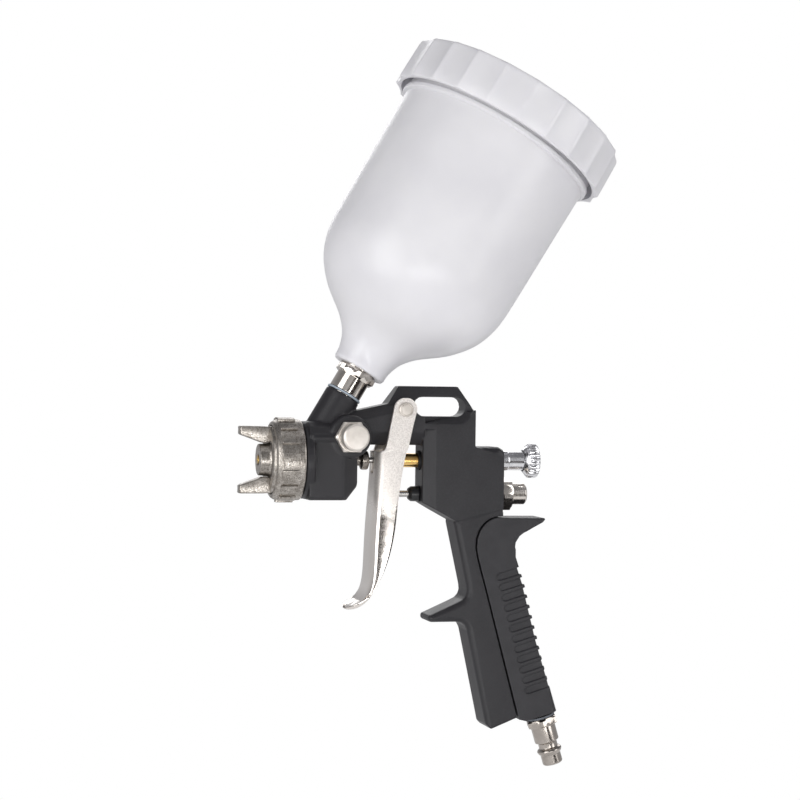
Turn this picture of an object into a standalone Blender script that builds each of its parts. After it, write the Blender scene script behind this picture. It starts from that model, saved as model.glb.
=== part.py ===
"""Gravity-feed HVLP spray gun, modelled piece by piece.

The nozzle points along -X, the cup leans back over the handle and +Z is up. The origin is the
middle of the flat upper wall of the hanging slot. Sizes are in millimetres and are turned into
metres by MM where a mesh is made.
"""
import math

import bmesh
import bpy
from mathutils import Matrix, Vector

MM = 0.001
GAP = 0.3                    # clearance left between pieces that touch
ROUND = 36                   # facets around a large turned piece
SMALL_ROUND = 16             # facets around a small turned piece
BORE_ROUND = 12              # facets around a bore in the casting

# ---- driving dimensions -------------------------------------------------------------------
NEEDLE_Z = -30.3             # height of the nozzle and needle axis
AIR_VALVE_Z = -46.2          # height of the air valve axis
BODY_HALF = 10.0             # half width of the arm, hanger and valve block
HANDLE_HALF = 9.7            # half width of the cast front of the handle
HEAD_HALF = 15.0             # half width of the spray head

SLOT_LENGTH = 25.8           # hanging slot, round ended
SLOT_HEIGHT = 9.2
SLOT_LIP_HALF = 6.5          # half thickness of the casting at the slot's lip

CUP_TILT = math.radians(30.8)
CUP_BASE = (-38.06, 13.45)   # where the cup's axis meets its neck (x, z)
BOSS_RADIUS = 8.6
BOSS_TOP = -15.2             # distances along the cup axis are measured from CUP_BASE
CUP_WALL = 1.8
CUP_RIM = 145.6
LID_RADIUS = 56.0
LID_FLUTES = 22
LID_BOTTOM = 128.6
LID_TOP = 150.0

PIVOT = (-18.0, -6.0)        # trigger pin (x, z)
PIN_RADIUS = 2.5
TRIGGER_HALF = 12.0          # half width over the trigger's arms
TRIGGER_SHEET = 1.7

INLET_TILT = math.radians(16.5)
INLET_END = (54.0, -153.3)   # middle of the handle's lower end (x, z)
TUBE_RADIUS = 5.2            # cast air pipe inside the rear grip
TUBE_BOSS_RADIUS = 7.2

FAN_AXIS = (-45.1, -19.0)    # fan valve (x, z), its axis is along Y
RING_REAR = -66.7
RING_FRONT = -80.3
RING_LUGS = 15
GRIP_GROOVES = 12

# ---- scene, collections and materials -----------------------------------------------------
for old in list(bpy.data.objects):
    bpy.data.objects.remove(old, do_unlink=True)

PARTS = bpy.data.collections.new("hvlp_spray_gun")
CUTTERS = bpy.data.collections.new("cutters")
for group in (PARTS, CUTTERS):
    bpy.context.scene.collection.children.link(group)

FINISHES = {
    "black_paint": ((0.045, 0.045, 0.050), 0.45, 0.0),
    "grip_nylon": ((0.040, 0.040, 0.045), 0.55, 0.0),
    "cast_nickel": ((0.50, 0.47, 0.44), 0.42, 1.0),
    "nickel": ((0.70, 0.66, 0.62), 0.22, 1.0),
    "chrome": ((0.80, 0.80, 0.81), 0.10, 1.0),
    "steel": ((0.62, 0.61, 0.60), 0.25, 1.0),
    "brass": ((0.80, 0.58, 0.26), 0.25, 1.0),
    "white_pp": ((0.84, 0.84, 0.87), 0.40, 0.0),
    "washer_grey": ((0.42, 0.46, 0.50), 0.50, 0.0),
    "black_rubber": ((0.03, 0.03, 0.03), 0.70, 0.0),
    "ptfe": ((0.88, 0.88, 0.86), 0.50, 0.0),
}


def material_for(name, finish):
    """One Principled material per piece, from the finish it is made with."""
    colour, roughness, metallic = FINISHES[finish]
    material = bpy.data.materials.new(name + "_" + finish)
    material.use_nodes = True
    shader = material.node_tree.nodes["Principled BSDF"]
    shader.inputs["Base Color"].default_value = (*colour, 1.0)
    shader.inputs["Roughness"].default_value = roughness
    shader.inputs["Metallic"].default_value = metallic
    return material


# ---- placing ------------------------------------------------------------------------------
def along_x(z):
    """Frame whose local Z runs along +X at height z, so profile heights are world x."""
    return Matrix.Translation((0, 0, z * MM)) @ Matrix.Rotation(math.radians(90), 4, "Y")


def along_cup():
    """Frame on the cup's axis."""
    base = Matrix.Translation((CUP_BASE[0] * MM, 0, CUP_BASE[1] * MM))
    return base @ Matrix.Rotation(CUP_TILT, 4, "Y")


def sideways(x, z):
    """Frame whose local Z runs along -Y through (x, z)."""
    base = Matrix.Translation((x * MM, 0, z * MM))
    return base @ Matrix.Rotation(math.radians(90), 4, "X")


def along_inlet():
    """Frame whose local Z runs down the handle and out through the air plug."""
    base = Matrix.Translation((INLET_END[0] * MM, 0, INLET_END[1] * MM))
    return base @ Matrix.Rotation(math.pi - INLET_TILT, 4, "Y")


def flat_side():
    """Frame that stands a drawing made in (x, z) upright, its thickness along Y."""
    return Matrix.Rotation(math.radians(90), 4, "X")


# ---- making objects -----------------------------------------------------------------------
def add_object(name, mesh, frame, finish=None):
    """Link a mesh as a piece, or as a cutter when it has no finish."""
    item = bpy.data.objects.new(name, mesh)
    item.matrix_world = frame
    if finish:
        PARTS.objects.link(item)
        mesh.materials.append(material_for(name, finish))
    else:
        CUTTERS.objects.link(item)
        item.hide_render = True
        item.display_type = "WIRE"
    return item


def turned(name, profile, frame, finish=None, steps=SMALL_ROUND, closed=False):
    """Screw a half profile of (radius, height) points round the frame's Z axis.

    The profile may be drawn either way round: it is turned so that its outer side runs
    downwards. A closed profile is a ring or tube.
    """
    area = sum(a[0] * b[1] - b[0] * a[1] for a, b in zip(profile, profile[1:] + profile[:1]))
    if area > 0:
        profile = profile[::-1]
    mesh = bpy.data.meshes.new(name)
    points = [(radius * MM, 0, height * MM) for radius, height in profile]
    edges = [(i, i + 1) for i in range(len(points) - 1)]
    if closed:
        edges.append((len(points) - 1, 0))
    mesh.from_pydata(points, edges, [])
    item = add_object(name, mesh, frame, finish)
    screw = item.modifiers.new("turn", "SCREW")
    screw.axis = "Z"
    screw.angle = math.tau
    screw.steps = steps
    screw.render_steps = steps
    screw.use_merge_vertices = True
    screw.merge_threshold = 0.00001
    screw.use_smooth_shade = True
    return item


def rod(name, radius, low, high, frame, finish=None, steps=BORE_ROUND, chamfer=0.0):
    """Plain round bar between two heights of its frame, with chamfered ends."""
    if chamfer:
        profile = [(0, high), (radius - chamfer, high), (radius, high - chamfer),
                   (radius, low + chamfer), (radius - chamfer, low), (0, low)]
    else:
        profile = [(0, high), (radius, high), (radius, low), (0, low)]
    return turned(name, profile, frame, finish, steps)


def tube(name, outer, inner, low, high, frame, finish=None, steps=SMALL_ROUND):
    """Plain ring between two heights of its frame."""
    profile = [(outer, high), (outer, low), (inner, low), (inner, high)]
    return turned(name, profile, frame, finish, steps, closed=True)


def outline(name, points, half, frame, finish=None, soft=None):
    """Solid from a flat outline: a filled 2D curve of half thickness `half`, made a mesh.

    soft is (test, width, segments): rim edges whose middle passes the test are bevelled. The
    faces are triangles, so that they are truly flat where a Boolean cuts them.
    """
    curve = bpy.data.curves.new(name, "CURVE")
    curve.dimensions = "2D"
    curve.fill_mode = "BOTH"
    curve.extrude = half * MM
    curve.render_resolution_u = 0
    spline = curve.splines.new("POLY")
    spline.points.add(len(points) - 1)
    for point, (x, z) in zip(spline.points, points):
        point.co = (x * MM, z * MM, 0, 1)
    spline.use_cyclic_u = True
    source = bpy.data.objects.new(name, curve)
    bpy.context.scene.collection.objects.link(source)
    graph = bpy.context.evaluated_depsgraph_get()
    mesh = bpy.data.meshes.new_from_object(source.evaluated_get(graph))
    bpy.data.objects.remove(source, do_unlink=True)
    mesh.materials.clear()

    work = bmesh.new()
    work.from_mesh(mesh)
    bmesh.ops.remove_doubles(work, verts=work.verts, dist=0.000001)
    bmesh.ops.dissolve_limit(work, angle_limit=math.radians(0.5), verts=work.verts,
                             edges=work.edges)
    bmesh.ops.recalc_face_normals(work, faces=work.faces)
    for test, width, segments in soft or ():
        rim = []
        for edge in work.edges:
            a, b = edge.verts
            same_cap = abs(a.co.z - b.co.z) < 0.00001 and abs(abs(a.co.z) - half * MM) < 0.00001
            middle = (a.co + b.co) / 2
            if same_cap and test(middle.x / MM, middle.y / MM):
                rim.append(edge)
        bmesh.ops.bevel(work, geom=rim, offset=width * MM, segments=segments, profile=0.5,
                        affect="EDGES", material=-1)
    bmesh.ops.triangulate(work, faces=work.faces)
    work.to_mesh(mesh)
    work.free()
    return add_object(name, mesh, frame @ flat_side(), finish)


def loft(name, rings, frame, finish=None):
    """Closed solid through rings that all have the same number of points."""
    work = bmesh.new()
    levels = [[work.verts.new(Vector(point) * MM) for point in ring] for ring in rings]
    count = len(rings[0])
    for lower, upper in zip(levels, levels[1:]):
        for i in range(count):
            j = (i + 1) % count
            work.faces.new((lower[i], lower[j], upper[j], upper[i]))
    work.faces.new(levels[0][::-1])
    work.faces.new(levels[-1])
    bmesh.ops.recalc_face_normals(work, faces=work.faces)
    mesh = bpy.data.meshes.new(name)
    work.to_mesh(mesh)
    work.free()
    return add_object(name, mesh, frame, finish)


def prism(name, across_flats, low, high, frame, finish=None, turn=0.0):
    """Hexagon between two heights of its frame."""
    mesh = bpy.data.meshes.new(name)
    work = bmesh.new()
    bmesh.ops.create_cone(work, cap_ends=True, segments=6, depth=(high - low) * MM,
                          radius1=across_flats / math.sqrt(3) * MM,
                          radius2=across_flats / math.sqrt(3) * MM,
                          matrix=Matrix.Translation((0, 0, (high + low) / 2 * MM))
                          @ Matrix.Rotation(turn, 4, "Z"))
    work.to_mesh(mesh)
    work.free()
    return add_object(name, mesh, frame, finish)


def boolean(target, other, operation):
    """Exact Boolean with another object, which then stays out of the model."""
    step = target.modifiers.new(other.name, "BOOLEAN")
    step.operation = operation
    step.solver = "EXACT"
    step.object = other
    other.hide_render = True
    other.display_type = "WIRE"


def cut(target, *others):
    for other in others:
        boolean(target, other, "DIFFERENCE")


def join(target, *others):
    for other in others:
        boolean(target, other, "UNION")


def hexed(piece, name, across_flats, low, high, frame, turn=0.0):
    """Give a turned piece six flats between two heights."""
    join(piece, prism(name, across_flats, low, high, frame, turn=turn))


def arc(cx, cz, radius, start, end, count):
    """Points on an arc, angles in degrees."""
    points = []
    for i in range(count + 1):
        angle = math.radians(start + (end - start) * i / count)
        points.append((cx + radius * math.cos(angle), cz + radius * math.sin(angle)))
    return points


def bend(a, corner, b, count=4):
    """Points of a smooth quadratic curve from a to b, pulled towards the corner."""
    points = []
    for i in range(count + 1):
        t = i / count
        weights = ((1 - t) ** 2, 2 * t * (1 - t), t ** 2)
        points.append(tuple(sum(w * p[k] for w, p in zip(weights, (a, corner, b)))
                            for k in range(2)))
    return points


def stadium(cx, cz, length, height, count=8):
    """Round-ended slot outline."""
    radius = height / 2
    reach = length / 2 - radius
    return (arc(cx + reach, cz, radius, -90, 90, count)
            + arc(cx - reach, cz, radius, 90, 270, count))


# ---- casting ------------------------------------------------------------------------------
GROOVE_CURVE = (
    bend((31.4, -56.4), (20.5, -56.4), (18.0, -67.0), 6)
    + bend((17.7, -71.5), (18.2, -76.0), (22.2, -89.1), 3)
    + [(39.6, -153.2)]
)                            # parting line between the casting and the rear grip (x, z)


def front_edge(x, z):
    """True on the front and hook edges of the handle's casting."""
    return z > -157 and x < 26.5 and x < 9.0 - (z + 58.0) * 0.30


def handle_front():
    """Cast front of the handle with the finger hook."""
    points = ([(8.8, -57.6), (7.2, -59.6)]
              + bend((14.0, -90.0), (15.4, -95.6), (9.6, -97.6), 4)
              + [(-2.9, -103.2)] + arc(-2.9, -105.1, 1.9, 120, 240, 4)
              + [(-2.9, -106.9)] + bend((9.0, -106.9), (13.2, -106.9), (14.4, -111.0), 3)
              + [(24.2, -156.0), (26.6, -158.2)] + GROOVE_CURVE[::-1]
              + [(30.9, -52.0), (20.0, -50.0)])
    return outline("handle_front", points, HANDLE_HALF, Matrix(),
                   soft=[(front_edge, 2.4, 3), (lambda x, z: z < -152 and x < 40, 0.8, 1)])


def hanger():
    """Hanging loop over the block, thinner towards its top."""
    points = [(-25.4, -3.4), (-19.7, 5.1), (9.5, 5.1), (16.9, -6.4), (16.9, -14.0),
              (-22.5, -14.0)]
    loop = outline("hanger", points, SLOT_LIP_HALF, Matrix())
    for side in (-1, 1):
        flank = ((SLOT_LIP_HALF + 0.01, -3.0), (3.3, 6.5), (12.0, 6.5), (12.0, -3.0))
        ends = [[(x, side * y, z) for y, z in flank] for x in (-32.0, 24.0)]
        cut(loop, loft("hanger_flank", ends, Matrix()))
    return loop


def valve_block():
    """Rear block, dished under the hanging slot and narrowed at its front."""
    points = [(-8.3, -12.4), (17.0, -5.9), (17.0, -23.5), (29.0, -23.5), (31.4, -24.9),
              (31.4, -52.9), (7.8, -58.9), (-8.3, -50.1)]
    block = outline("valve_block", points, BODY_HALF, Matrix(),
                    soft=[(lambda x, z: x > 17.2 and -26.5 < z < -23, 3.0, 2)])
    for side in (-1, 1):
        wedge = [(x, side * y, z)
                 for x, y, z in ((-9.3, 6.8, -70.0), (-9.3, 11.0, -70.0), (-0.6, 11.0, -70.0))]
        top = [(x, y, -15.3) for x, y, z in wedge]
        cut(block, loft("front_chamfer", [wedge, top], Matrix()))
        cut(block, block_dish(side))
    return block


def block_dish(side):
    """Cutter for the dish that falls from the block's face to the slot's lip, open at the top."""
    depth = BODY_HALF - SLOT_LIP_HALF
    rings = []
    for share in (-0.05, 2.0):
        centre = -SLOT_HEIGHT / 2 - 1.0 * share
        radius = (SLOT_HEIGHT + 0.6 + 4.0 * share) / 2
        reach = SLOT_LENGTH / 2 - SLOT_HEIGHT / 2
        ring = (arc(-reach, centre, radius, 180, 270, 5) + arc(reach, centre, radius, 270, 360, 5)
                + [(22.0, centre + 0.5), (22.0, 9.0), (-26.0, 9.0), (-26.0, centre + 0.5)])
        rings.append([(x, side * (SLOT_LIP_HALF + share * depth), z) for x, z in ring])
    return loft("block_dish", rings, Matrix())


def arm():
    """Bridge from the head to the hanger, an octagon that rises to the rear."""
    rings = []
    for x, top, side in ((-47.0, -8.2, 10.0), (-24.0, -3.1, 9.94), (-8.0, -3.1, 9.9)):
        half = [(5.6, top), (side, top - 4.4), (side, -16.6), (4.2, -22.9)]
        section = half + [(-y, z) for y, z in reversed(half)]
        rings.append([(x, y, z) for y, z in section])
    return loft("arm", rings, Matrix())


def head():
    """Spray head block, chamfered down to the arm at its rear."""
    low, rear = -48.7, -40.5
    rings = []
    for x, half, cut_up in ((-64.5, HEAD_HALF, 0.0), (-48.3, HEAD_HALF, 0.0),
                            (-46.4, HEAD_HALF - 1.2, 0.0), (rear, BODY_HALF - 0.4, 6.2)):
        side = [(half - 1.5, low + cut_up), (half, low + cut_up + 1.5), (half, -18.2),
                (half - 2.5, -14.4), (half - 7.0, -12.2)]
        section = side + [(-y, z) for y, z in reversed(side)]
        rings.append([(x, y, z) for y, z in section])
    block = loft("head_block", rings, Matrix())
    nose = along_x(NEEDLE_Z)
    collar = rod("head_collar", 18.3, -66.4, -62.0, nose, steps=ROUND, chamfer=0.6)
    thread = rod("head_thread", 17.1, -73.6, -66.0, nose, steps=ROUND, chamfer=0.5)
    boss = rod("neck_boss", BOSS_RADIUS, -48.0, BOSS_TOP, along_cup(), steps=32, chamfer=0.5)
    fan = rod("fan_boss", 10.2, -6.0, 15.3, sideways(*FAN_AXIS), steps=32, chamfer=1.2)
    join(block, collar, thread, boss, fan)
    for side in (-1, 1):
        along = Matrix.Translation((0, side * 12.95 * MM, -19.6 * MM)) @ along_x(0.0)
        join(block, rod("head_rib", 2.3, -64.5, -48.0, along))
    return block


def air_pipe():
    """Cast pipe inside the rear grip, with the threaded end for the air plug."""
    frame = along_inlet()
    profile = [(0, -0.4), (TUBE_BOSS_RADIUS, -0.4), (TUBE_BOSS_RADIUS, -13.0),
               (TUBE_RADIUS, -16.0), (TUBE_RADIUS, -101.0), (0, -101.0)]
    return turned("air_pipe", profile, frame, steps=BORE_ROUND)


def make_body():
    """The casting: head, arm, hanger, valve block, handle front and air pipe in one."""
    body = outline("gun_body", [(-20.0, -11.0), (10.0, -11.0), (10.0, -16.0), (-20.0, -16.0)],
                   SLOT_LIP_HALF - 1.0, Matrix(), "black_paint")
    join(body, hanger(), valve_block(), handle_front(), arm(), head(), air_pipe())
    nose = along_x(NEEDLE_Z)
    cut(body,
        outline("hanging_slot", stadium(0, -SLOT_HEIGHT / 2, SLOT_LENGTH, SLOT_HEIGHT),
                BODY_HALF + 5, Matrix()),
        rod("pin_bore", PIN_RADIUS + GAP, -20, 20, sideways(*PIVOT)),
        turned("nozzle_bore", [(0, -80.0), (13.0, -80.0), (13.0, -67.8), (6.0, -67.8),
                               (6.0, -55.0), (2.2, -55.0), (2.2, -49.0), (3.9, -49.0),
                               (3.9, -35.0), (0, -35.0)], nose, steps=32),
        turned("cup_bore", [(0, -10.0), (6.4, -10.0), (6.4, -27.5), (3.6, -27.5),
                            (3.6, -50.9), (0, -50.9)], along_cup()),
        rod("fan_bore", 5.3, 6.5, 20.0, sideways(*FAN_AXIS)),
        turned("needle_rear_bore", [(0, -14.0), (4.7, -14.0), (4.7, -3.5), (3.8, -3.5),
                                    (3.8, 5.0), (4.9, 5.0), (4.9, 40.0), (0, 40.0)], nose),
        turned("air_valve_bore", [(0, -14.0), (3.7, -14.0), (3.7, -1.5), (2.4, -1.5),
                                  (2.4, 8.0), (5.8, 8.0), (5.8, 40.0), (0, 40.0)],
               along_x(AIR_VALVE_Z)),
        turned("inlet_bore", [(0, 3.0), (5.1, 3.0), (5.1, -12.0), (2.9, -12.0),
                              (2.9, -110.5), (0, -110.5)], along_inlet()))
    return body


# ---- rear grip ----------------------------------------------------------------------------
def grip_outline(inset=0.0):
    """Rear grip with its thumb tang; inset shrinks the rear edge for the groove floor."""
    gap = 0.7
    front = [(x + gap, z - gap * 0.4) for x, z in GROOVE_CURVE]
    rear = bend((37.7 - inset, -76.0), (36.4 - inset, -66.5), (46.6, -61.9), 5)
    return ([(front[0][0], -57.3)] + front[1:-1]
            + [(40.6, -154.0), (44.0, -154.8), (60.0 - inset, -150.3),
               (49.2 - inset, -116.0), (42.0 - inset, -88.5)]
            + rear + [(51.8, -59.5), (54.3, -58.1), (53.4, -57.4)])


def rear_edge(x, z):
    return x > 37.0 - (z + 70.0) * 0.27 and -150 < z < -64


def tang_edge(x, z):
    return z > -64 and x > 36


def make_grip():
    """Moulded rear grip: slides up over the cast pipe and is clamped by the air plug."""
    depth = 0.9
    grip = outline("rear_grip", grip_outline(), BODY_HALF, Matrix(), "grip_nylon",
                   soft=[(rear_edge, 3.5, 4), (tang_edge, 0.7, 2)])
    core = outline("groove_core", grip_outline(depth), BODY_HALF - depth + 0.15, Matrix(),
                   soft=[(rear_edge, 3.1, 4)])
    first = Vector((29.6, 0, -85.6))
    last = Vector((44.4, 0, -140.0))
    step = (last - first) / (GRIP_GROOVES - 1)
    rake = math.radians(17.0)
    for i in range(GRIP_GROOVES):
        centre = first + step * i
        bar = outline("groove_%d" % i, stadium(15.0, 0.0, 33.0, 3.5, 4), BODY_HALF + 2,
                      Matrix.Translation(centre * MM) @ Matrix.Rotation(-rake, 4, "Y"))
        cut(bar, core)
        cut(grip, bar)
    frame = along_inlet()
    cut(grip, turned("pipe_way", [(0, 5.0), (TUBE_BOSS_RADIUS + GAP, 5.0),
                                  (TUBE_BOSS_RADIUS + GAP, -13.2), (TUBE_RADIUS + GAP, -16.4),
                                  (TUBE_RADIUS + GAP, -110.0), (0, -110.0)],
                     frame, steps=BORE_ROUND))
    return grip


# ---- spray end ----------------------------------------------------------------------------
def make_ring():
    """Cast retaining ring with rectangular grip lugs and a lip that holds the air cap."""
    frame = along_x(NEEDLE_Z)
    base = 19.0
    profile = [(18.7, RING_REAR), (base, RING_REAR - 0.5), (base, -77.8), (18.2, -79.6),
               (17.4, RING_FRONT), (16.3, RING_FRONT), (16.3, -77.6), (17.5, -77.6),
               (17.5, RING_REAR)]
    ring = turned("retaining_ring", profile, frame, "cast_nickel", ROUND, closed=True)
    for i in range(RING_LUGS):
        mesh = bpy.data.meshes.new("lug")
        work = bmesh.new()
        turn = Matrix.Rotation(math.tau * i / RING_LUGS, 4, "Z")
        place = turn @ Matrix.Translation((19.1 * MM, 0, -73.9 * MM))
        size = Matrix.Diagonal((1.8 * MM, 3.9 * MM, 8.2 * MM, 1))
        bmesh.ops.create_cube(work, size=1.0, matrix=place @ size)
        work.to_mesh(mesh)
        work.free()
        join(ring, add_object("lug_%d" % i, mesh, frame))
    return ring


def make_air_cap():
    """Air cap: rounded disc, centre boss, and two horns in the upright plane."""
    frame = along_x(NEEDLE_Z)
    profile = [(17.0, -73.9), (17.0, -76.2), (15.9, -76.2), (15.9, -80.0), (15.2, -81.3),
               (13.9, -81.9), (11.5, -81.4), (8.4, -80.9), (7.7, -82.0), (7.4, -86.3),
               (2.7, -86.3), (2.7, -84.9), (5.6, -82.4), (7.5, -79.2), (11.5, -78.4),
               (11.5, -73.9)]
    cap = turned("air_cap", profile, frame, "cast_nickel", ROUND, closed=True)
    for side in (-1, 1):
        rings = []
        for x, inner, outer, half in ((-79.9, 8.6, 15.4, 4.2), (-84.5, 7.9, 15.7, 3.9),
                                      (-95.0, 11.7, 15.8, 3.1), (-95.5, 12.2, 15.4, 2.6)):
            rings.append([(x, y, NEEDLE_Z + side * r)
                          for y, r in ((-half, inner), (half, inner), (half, outer),
                                       (-half, outer))])
        join(cap, loft("horn", rings, Matrix()))
        way = Matrix.Translation((-91.5 * MM, 0, (NEEDLE_Z + side * 10.0) * MM))
        jet = rod("horn_jet", 0.9, -1.8, 4.2, way @ Matrix.Rotation(
            math.radians(0 if side > 0 else 180), 4, "Y"), steps=12)
        cut(cap, jet)
    for x, y in ((-78.0, 9.6), (-78.0, -9.6)):
        cut(cap, rod("side_jet", 0.7, -84.0, -77.0,
                     Matrix.Translation((0, y * MM, 0)) @ frame, steps=10))
    return cap


def make_spray_end():
    frame = along_x(NEEDLE_Z)
    make_ring()
    make_air_cap()
    tube("cap_snap_ring", 17.3, 16.4, -77.2, -76.6, frame, "steel", ROUND)
    baffle = tube("air_baffle", 12.6, 7.4, -73.4, -71.2, frame, "brass", 32)
    for i in range(6):
        turn = Matrix.Rotation(math.tau * (i + 0.5) / 6, 4, "X")
        way = Matrix.Translation((0, 0, NEEDLE_Z * MM)) @ turn @ Matrix.Translation(
            (0, 0, 10.0 * MM)) @ Matrix.Rotation(math.radians(90), 4, "Y")
        cut(baffle, rod("baffle_hole", 1.3, -76.0, -68.0, way, steps=10))
    nozzle = turned("fluid_nozzle", [(5.7, -56.0), (5.7, -68.1), (6.2, -68.1), (6.2, -69.4),
                                     (5.0, -69.4), (5.0, -76.5), (2.0, -84.3), (1.9, -86.6),
                                     (0.8, -86.6), (0.8, -85.6), (2.3, -82.0), (2.3, -56.0)],
                    frame, "steel", 24, closed=True)
    hexed(nozzle, "nozzle_hex", 12.0, -76.0, -70.0, frame)
    cut(nozzle, rod("nozzle_way", 2.3, -81.0, -50.0, frame))


# ---- needle and its control ---------------------------------------------------------------
def coil(name, mean, wire, low, high, turns, frame, finish):
    """Compression spring: a poly helix with round wire and closed caps."""
    curve = bpy.data.curves.new(name, "CURVE")
    curve.dimensions = "3D"
    curve.bevel_depth = wire * MM
    curve.bevel_resolution = 0
    curve.use_fill_caps = True
    curve.render_resolution_u = 0
    spline = curve.splines.new("POLY")
    count = turns * 10
    spline.points.add(count)
    for i, point in enumerate(spline.points):
        angle = math.tau * turns * i / count
        height = low + wire + (high - low - 2 * wire) * i / count
        point.co = (mean * math.cos(angle) * MM, mean * math.sin(angle) * MM, height * MM, 1)
    item = bpy.data.objects.new(name, curve)
    item.matrix_world = frame
    curve.materials.append(material_for(name, finish))
    PARTS.objects.link(item)
    return item


def make_needle_group():
    frame = along_x(NEEDLE_Z)
    turned("fluid_needle", [(0, 36.0), (1.2, 36.0), (1.5, 35.6), (1.5, 5.6), (3.3, 5.6),
                            (3.3, 3.6), (1.5, 3.6), (1.5, -80.0), (0.5, -85.6),
                            (0.4, -86.2), (0, -86.4)], frame, "steel")
    tube("needle_collar", 3.3, 1.8, -28.1, 3.2, frame, "brass")
    tube("needle_guide_bush", 4.4, 3.6, -9.4, -3.8, frame, "black_rubber")
    tube("needle_packing", 3.6, 1.8, -48.6, -44.6, frame, "ptfe")
    turned("packing_gland_screw", [(3.6, -44.2), (1.8, -44.2), (1.8, -33.4), (4.0, -33.4),
                                   (4.65, -33.9), (4.65, -36.6), (4.0, -37.0), (3.6, -38.2)],
           frame, "nickel", closed=True)
    coil("needle_spring", 2.5, 0.4, 6.0, 34.2, 8, frame, "steel")
    tube("spring_seat_washer", 3.1, 1.9, 34.6, 35.2, frame, "steel")
    sleeve = tube("fluid_knob_sleeve", 4.5, 3.5, 19.0, 45.4, frame, "chrome", 32)
    join(sleeve, tube("sleeve_collar", 4.75, 3.9, 31.8, 35.2, frame, steps=32))
    turned("fluid_knob", [(0, 50.6), (7.4, 50.6), (8.2, 49.8), (8.2, 45.2), (5.2, 43.3),
                          (5.0, 43.3), (5.0, 46.2), (3.1, 46.2), (3.1, 35.6), (1.9, 35.6),
                          (1.9, 42.6), (0, 42.6)],
           frame, "chrome", 32)


def make_air_valve():
    frame = along_x(AIR_VALVE_Z)
    turned("air_valve_guide", [(3.4, -1.8), (1.9, -1.8), (1.9, -13.6), (2.6, -13.6),
                               (3.7, -12.2), (3.7, -8.7), (3.4, -8.7)],
           frame, "black_rubber", closed=True)
    turned("air_valve_stem", [(0, 14.0), (2.0, 14.0), (2.0, 11.5), (4.6, 11.5), (4.6, 9.4),
                              (1.6, 9.4), (1.6, -29.5), (1.2, -29.9), (0, -29.9)],
           frame, "steel")
    tube("air_valve_seal", 4.2, 1.9, 8.4, 9.1, frame, "black_rubber")
    coil("air_valve_spring", 3.3, 0.45, 11.8, 31.5, 7, frame, "steel")
    plug = turned("air_valve_plug", [(0, 44.7), (4.3, 44.7), (5.1, 43.9), (5.1, 33.0),
                                     (5.5, 31.0), (5.5, 24.0), (4.3, 24.0), (4.3, 32.0),
                                     (0, 32.0)], frame, "nickel")
    hexed(plug, "plug_hex", 14.0, 31.8, 37.2, frame, turn=math.radians(13))


def make_fan_valve():
    frame = sideways(*FAN_AXIS)
    housing = tube("fan_valve_housing", 4.9, 3.3, 8.0, 18.9, frame, "nickel")
    hex_part = prism("fan_hex", 14.0, 15.7, 19.4, frame, turn=math.radians(30))
    cut(hex_part, rod("fan_hex_bore", 3.3, 10.0, 25.0, frame, steps=SMALL_ROUND))
    join(housing, hex_part)
    turned("fan_valve_knob", [(0, 27.6), (5.4, 27.6), (6.3, 26.8), (6.3, 19.9), (2.9, 19.9),
                              (2.9, 11.0), (2.0, 11.0), (2.0, 9.4), (2.9, 9.4), (2.9, 8.6),
                              (0, 7.0)], frame, "nickel", 24)
    tube("fan_valve_o_ring", 3.0, 2.3, 9.7, 10.7, frame, "black_rubber")


# ---- trigger ------------------------------------------------------------------------------
def trigger_rows():
    """Rows down the trigger: (front x, z, rear x, z, web share) for its sheet section.

    The web share is 0 on the flat arms and 1 where the front web joins them.
    """
    x, z = PIVOT
    reach = 5.6
    rows = []
    for angle in (12, 30, 50, 70, 90):
        turn = math.radians(angle)
        dx, dz = reach * math.sin(turn), reach * math.cos(turn)
        rows.append((x - dx, z + dz, x + dx, z + dz, 0))
    rows += [(-25.4, -14.0, -14.5, -14.0, 0), (-26.6, -21.0, -15.9, -21.0, 0),
             (-27.4, -25.0, -16.7, -25.0, 0)]
    rows += [(-31.0, -26.0, -16.9, -26.0, 1), (-31.2, -35.0, -18.4, -35.0, 1),
             (-32.0, -47.0, -20.2, -47.0, 1), (-33.0, -60.0, -21.2, -60.0, 1),
             (-33.5, -72.0, -23.0, -71.0, 1), (-33.6, -82.0, -25.8, -80.6, 1),
             (-34.1, -89.5, -29.6, -88.6, 1), (-35.4, -94.2, -32.6, -93.2, 1),
             (-38.0, -97.6, -36.4, -96.2, 1), (-41.2, -99.6, -40.2, -98.2, 1),
             (-43.6, -100.2, -43.0, -98.8, 1)]
    return rows


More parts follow.
